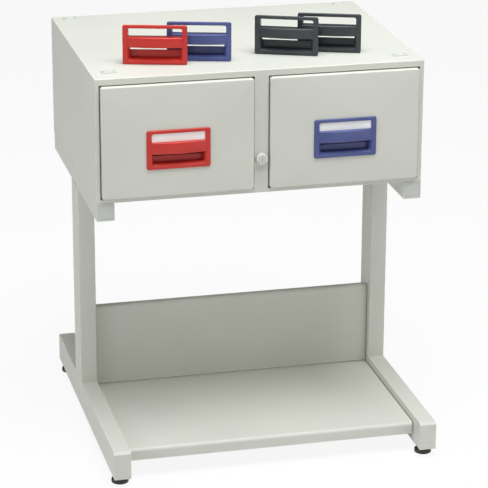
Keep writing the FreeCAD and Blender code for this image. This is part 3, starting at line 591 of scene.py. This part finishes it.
# -------------------------------------------------------------------------------------- lock
def lock_head():
    """The lock's pale head, a turned knob with a rounded rim and a shallow dished face."""
    low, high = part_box("lock_housing")
    x, _, z = middle_of(low, high)
    rows = [(6.1, 28.0), (6.1, 0.9), (6.6, 0.35), (9.6, 0.0), (10.8, 0.0)]
    rim = 3.2
    rows += [(10.8 + rim * math.sin(a), rim - rim * math.cos(a)) for a in np.linspace(0.1, 1.57, 8)]
    rows += [(14.0, 10.4), (13.7, 11.0), (9.0, 11.0), (9.0, 27.6), (8.6, 28.0)]
    return turned([(r * MM, d * MM) for r, d in rows], 72, (x, low.y, z), closed=True)


def lock_plug():
    """The turning cylinder, whose face runs in to a narrow upright keyway and a blind slot."""
    low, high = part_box("lock_cylinder")
    x, _, z = middle_of(low, high)
    rings = []
    shape = [(12.0, 12.0, 6.0, high.y - low.y), (12.0, 12.0, 6.0, 0.35 * MM),
             (11.3, 11.3, 5.65, 0.0), (1.9, 8.0, 0.6, 0.0), (1.4, 7.5, 0.5, 0.3 * MM),
             (1.4, 7.5, 0.5, 8.0 * MM)]
    for width, height, radius, depth in shape:
        rings.append(oval(width * MM, height * MM, radius * MM, x, z, low.y + depth))
    return skin(rings)


piece_of("lock_knob", [lock_head()], "root", "lock_grey", ["lock_housing"])
piece_of("lock_plug", [lock_plug()], "lock_key_body", "lock_metal", ["lock_cylinder"])


# ---------------------------------------------------------------------- caps, pads and screws
def tube_cap(low, high, facing):
    """A push-in cap: a flat rim, a fine groove and a slightly domed middle, filled behind."""
    width, height = high.x - low.x, high.z - low.z
    x, _, z = middle_of(low, high)
    face = low.y if facing < 0 else high.y
    rings = []
    shape = [(0.0, 10.0, 1.2), (0.0, 0.3, 1.2), (0.3, 0.0, 1.2), (2.4, 0.0, 1.6),
             (2.9, 0.7, 1.6), (3.5, 0.7, 1.6), (4.2, 0.0, 1.8), (9.0, 0.0, 2.0)]
    for inset, depth, radius in shape:
        rings.append(oval(width - 2 * inset * MM, height - 2 * inset * MM, radius * MM, x, z,
                          face - facing * depth * MM))
    return skin(rings)


PART_GAP = 0.1


def part_boxes(node, axes):
    """The boxes of a node's separate solids, parted wherever a wide gap opens along an axis."""
    mesh = frame["nodes"][node].data
    points = np.empty(len(mesh.vertices) * 3)
    mesh.vertices.foreach_get("co", points)
    points = points.reshape(-1, 3)
    groups = [points]
    for axis in axes:
        split = []
        for group in groups:
            order = group[np.argsort(group[:, axis], kind="stable")]
            jumps = np.where(np.diff(order[:, axis]) > PART_GAP)[0] + 1
            split += np.split(order, jumps)
        groups = split
    return [(Vector(group.min(axis=0)), Vector(group.max(axis=0))) for group in groups]


caps = []
for low, high in part_boxes("beam_end_caps", (0, 1)):
    caps.append(tube_cap(low, high, -1 if low.y < 0 else 1))
piece_of("beam_plugs", caps, "root", "grey_plastic", ["beam_end_caps"])
caps = [tube_cap(low, high, 1) for low, high in part_boxes("foot_end_caps", (0,))]
piece_of("foot_plugs", caps, "root", "grey_plastic", ["foot_end_caps"])


def stacking_pad(low, high):
    """A low oval pad: level rings that draw in over an eased rim to a flat top."""
    width, depth, rise = high.x - low.x, high.y - low.y, high.z - low.z
    x, y, _ = middle_of(low, high)
    edge = 1.2 * MM
    eased = [(inset, rise - edge + turn) for inset, turn in quarter_turn(edge)]
    rings = []
    for inset, height in [(0.0, 0.0)] + eased:
        flat = oval(width - 2 * inset, depth - 2 * inset, 3.2 * MM, x, y, 0.0)
        rings.append(np.stack([flat[:, 0], flat[:, 2], np.full(len(flat), low.z + height)], axis=1))
    return skin(rings)


def pad_shadow_dot(x, y, z):
    """A black ring at one end of a pad, painted shade for the dark shadow dot there: a small turned
    cup standing a hair above the pad.
    """
    rows = [(2.6, -1.4), (2.6, 0.0), (2.3, 0.12), (1.9, 0.12), (1.7, -0.1), (1.6, -1.2),
            (0.2, -1.2)]
    scaled = [(r * MM, d * MM) for r, d in rows]
    return turned(scaled, 28, (x, y, z), along="Z")


RING_STANDS, SHADOW_DOT_INSET = 0.12 * MM, 5 * MM
pads, shadow_dots = [], []
for low, high in part_boxes("stacking_pads", (0, 1)):
    pad_top = high.z - RING_STANDS
    pads.append(stacking_pad(low, Vector((high.x, high.y, pad_top))))
    for end in (low.x + SHADOW_DOT_INSET, high.x - SHADOW_DOT_INSET):
        shadow_dots.append(pad_shadow_dot(end, middle_of(low, high)[1], pad_top))
piece_of("top_pads", pads, "root", "grey_plastic", ["stacking_pads"])
# black rings at both ends of each pad: painted shade standing in for the dark shadow dots there
piece_of("pad_shadow_dots", shadow_dots, "root", "black_plastic", ["stacking_pads"])


def levelling_foot(low, high):
    """A floor disc with its cone, a hexagon and a threaded stem, all rings about one axis.

    The hexagon's radius is its half width over the cosine of the angle from the nearest
    flat. The stem's radius falls and rises once a pitch, and winds round with the angle.
    """
    x, y, _ = middle_of(low, high)
    rows = [(3.0, 1.2), (14.0, 1.2), (15.5, 0.0), (18.8, 0.0), (20.0, 1.0), (20.0, 6.6)]
    rows += [(16.8 + 3.2 * math.cos(a), 6.8 + 3.2 * math.sin(a)) for a in np.linspace(0, 1.57, 6)]
    rows += [(15.6, 10.2), (9.0, 14.6), (5.0, 15.0)]
    disc = turned([(r * MM, d * MM) for r, d in rows], 96, (x, y, low.z), along="Z")
    angle = np.linspace(0, 2 * math.pi, 60, endpoint=False)
    flats = 7.8 / np.cos((angle + math.pi / 6) % (math.pi / 3) - math.pi / 6)
    grip = []
    for share, rise in ((0.93, 14.2), (1.0, 14.9), (1.0, 17.4), (0.93, 18.0)):
        radius = np.minimum(flats, 8.8) * share * MM
        grip.append(level_ring(x, y, low.z + rise * MM, radius, angle))
    stem, pitch, outside, thread = [], 1.5, 5.0, 0.75
    for rise in np.arange(16.0, 50.01, 0.25):
        wave = ((rise / pitch - angle / (2 * math.pi)) % 1.0 - 0.5) * 2
        radius = (outside - thread * (1 - np.abs(wave))) * MM
        stem.append(level_ring(x, y, low.z + rise * MM, radius, angle))
    return disc, skin(grip), skin(stem)


for side in SIDES:
    for end in ("front", "back"):
        name = f"{end}_{side}"
        disc, grip, stem = levelling_foot(*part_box("levelling_foot_" + name))
        piece_of("levelling_disc_" + name, [disc, grip], "foot_" + name, "black_plastic",
                 ["levelling_foot_" + name])
        piece_of("levelling_stem_" + name, [stem], "foot_" + name, "zinc_steel",
                 ["levelling_foot_" + name])


# -------------------------------------------------------------- finishes of the carried nodes
for node, carried in frame["nodes"].items():
    if node not in REPLACED:
        dress(carried, SLOTS[node])


# ----------------------------------------------------------------------- floor, light, camera
def studio_floor():
    """A wide pale floor: white to the eye and to reflections, yet it keeps soft shadows."""
    reach = 14.0
    mesh = bpy.data.meshes.new("studio_floor")
    corners = np.array([[-reach, -reach, 0.0], [reach, -reach, 0.0], [reach, reach, 0.0],
                        [-reach, reach, 0.0]])
    mesh.from_pydata(corners.tolist(), [], [[0, 1, 2, 3]])
    floor = bpy.data.objects.new("studio_floor", mesh)
    bpy.context.scene.collection.objects.link(floor)
    finish = Finish("studio_floor")
    rays = finish.node("LightPath", output="Is Camera Ray")
    outputs = rays.socket.node.outputs
    seen = rays.most(Reading(finish, outputs["Is Glossy Ray"]))
    seen = seen.most(Reading(finish, outputs["Is Transmission Ray"]))
    matt = finish.node("BsdfDiffuse", None, {"Color": (0.80, 0.80, 0.80, 1.0)})
    glow = finish.node("Emission", None, {"Color": (1.0, 1.0, 1.0, 1.0), "Strength": 1.0})
    mixed = finish.node("MixShader", None, {0: seen * 0.90, 1: matt, 2: glow})
    mesh.materials.append(finish.ends_in(mixed))


def soft_light(name, place, target, size, power, colour=(1.0, 1.0, 1.0)):
    """A square area lamp that points from its place at a target."""
    lamp = bpy.data.lights.new(name, "AREA")
    lamp.shape = "SQUARE"
    lamp.size = size
    lamp.energy = power
    lamp.color = colour
    holder = bpy.data.objects.new(name, lamp)
    bpy.context.scene.collection.objects.link(holder)
    holder.location = place
    aim = Vector(target) - Vector(place)
    holder.rotation_euler = aim.to_track_quat("-Z", "Y").to_euler()


def white_world(strength):
    """A world that lights evenly and that the eye and reflections see as white."""
    world = bpy.data.worlds.new("studio_world")
    bpy.context.scene.world = world
    world.use_nodes = True
    tree = world.node_tree
    tree.nodes.clear()
    output = tree.nodes.new("ShaderNodeOutputWorld")
    even = tree.nodes.new("ShaderNodeBackground")
    white = tree.nodes.new("ShaderNodeBackground")
    even.inputs["Strength"].default_value = strength
    even.inputs["Color"].default_value = (1.0, 1.0, 1.0, 1.0)
    white.inputs["Color"].default_value = (1.0, 1.0, 1.0, 1.0)
    rays = tree.nodes.new("ShaderNodeLightPath")
    mix = tree.nodes.new("ShaderNodeMixShader")
    tree.links.new(rays.outputs["Is Camera Ray"], mix.inputs[0])
    tree.links.new(even.outputs[0], mix.inputs[1])
    tree.links.new(white.outputs[0], mix.inputs[2])
    tree.links.new(mix.outputs[0], output.inputs["Surface"])


def studio_camera(place, ahead, roll, lens):
    """A camera looking along a direction, level but for a small roll."""
    forward = Vector(ahead).normalized()
    right = forward.cross(Vector((0.0, 0.0, 1.0))).normalized()
    up = right.cross(forward)
    right, up = (right * math.cos(roll) + up * math.sin(roll),
                 up * math.cos(roll) - right * math.sin(roll))
    camera = bpy.data.cameras.new("studio_camera")
    camera.lens = lens
    camera.sensor_width = 36.0
    camera.dof.use_dof = False
    holder = bpy.data.objects.new("studio_camera", camera)
    bpy.context.scene.collection.objects.link(holder)
    turn = Matrix((right, up, -forward)).transposed().to_4x4()
    holder.matrix_world = Matrix.Translation(place) @ turn
    bpy.context.scene.camera = holder


studio_floor()
white_world(0.27)
soft_light("top_light", (0.2, -0.8, 3.7), (0.0, 0.0, 0.6), 2.4, 142, (0.985, 0.99, 1.0))
soft_light("front_light", (2.2, -3.5, 0.9), (0.1, 0.0, 0.30), 1.5, 17, (1.0, 0.985, 0.93))
soft_light("left_light", (-4.0, -1.2, 1.6), (0.0, 0.1, 0.6), 1.8, 40)
CAMERA_PLACE, CAMERA_AHEAD = (-1.2598, -5.1997, 2.3167), (0.2239, 0.9161, -0.3322)
CAMERA_ROLL, CAMERA_LENS = 0.0035, 173.5
studio_camera(CAMERA_PLACE, CAMERA_AHEAD, CAMERA_ROLL, CAMERA_LENS)
bpy.context.scene.view_settings.view_transform = "Standard"
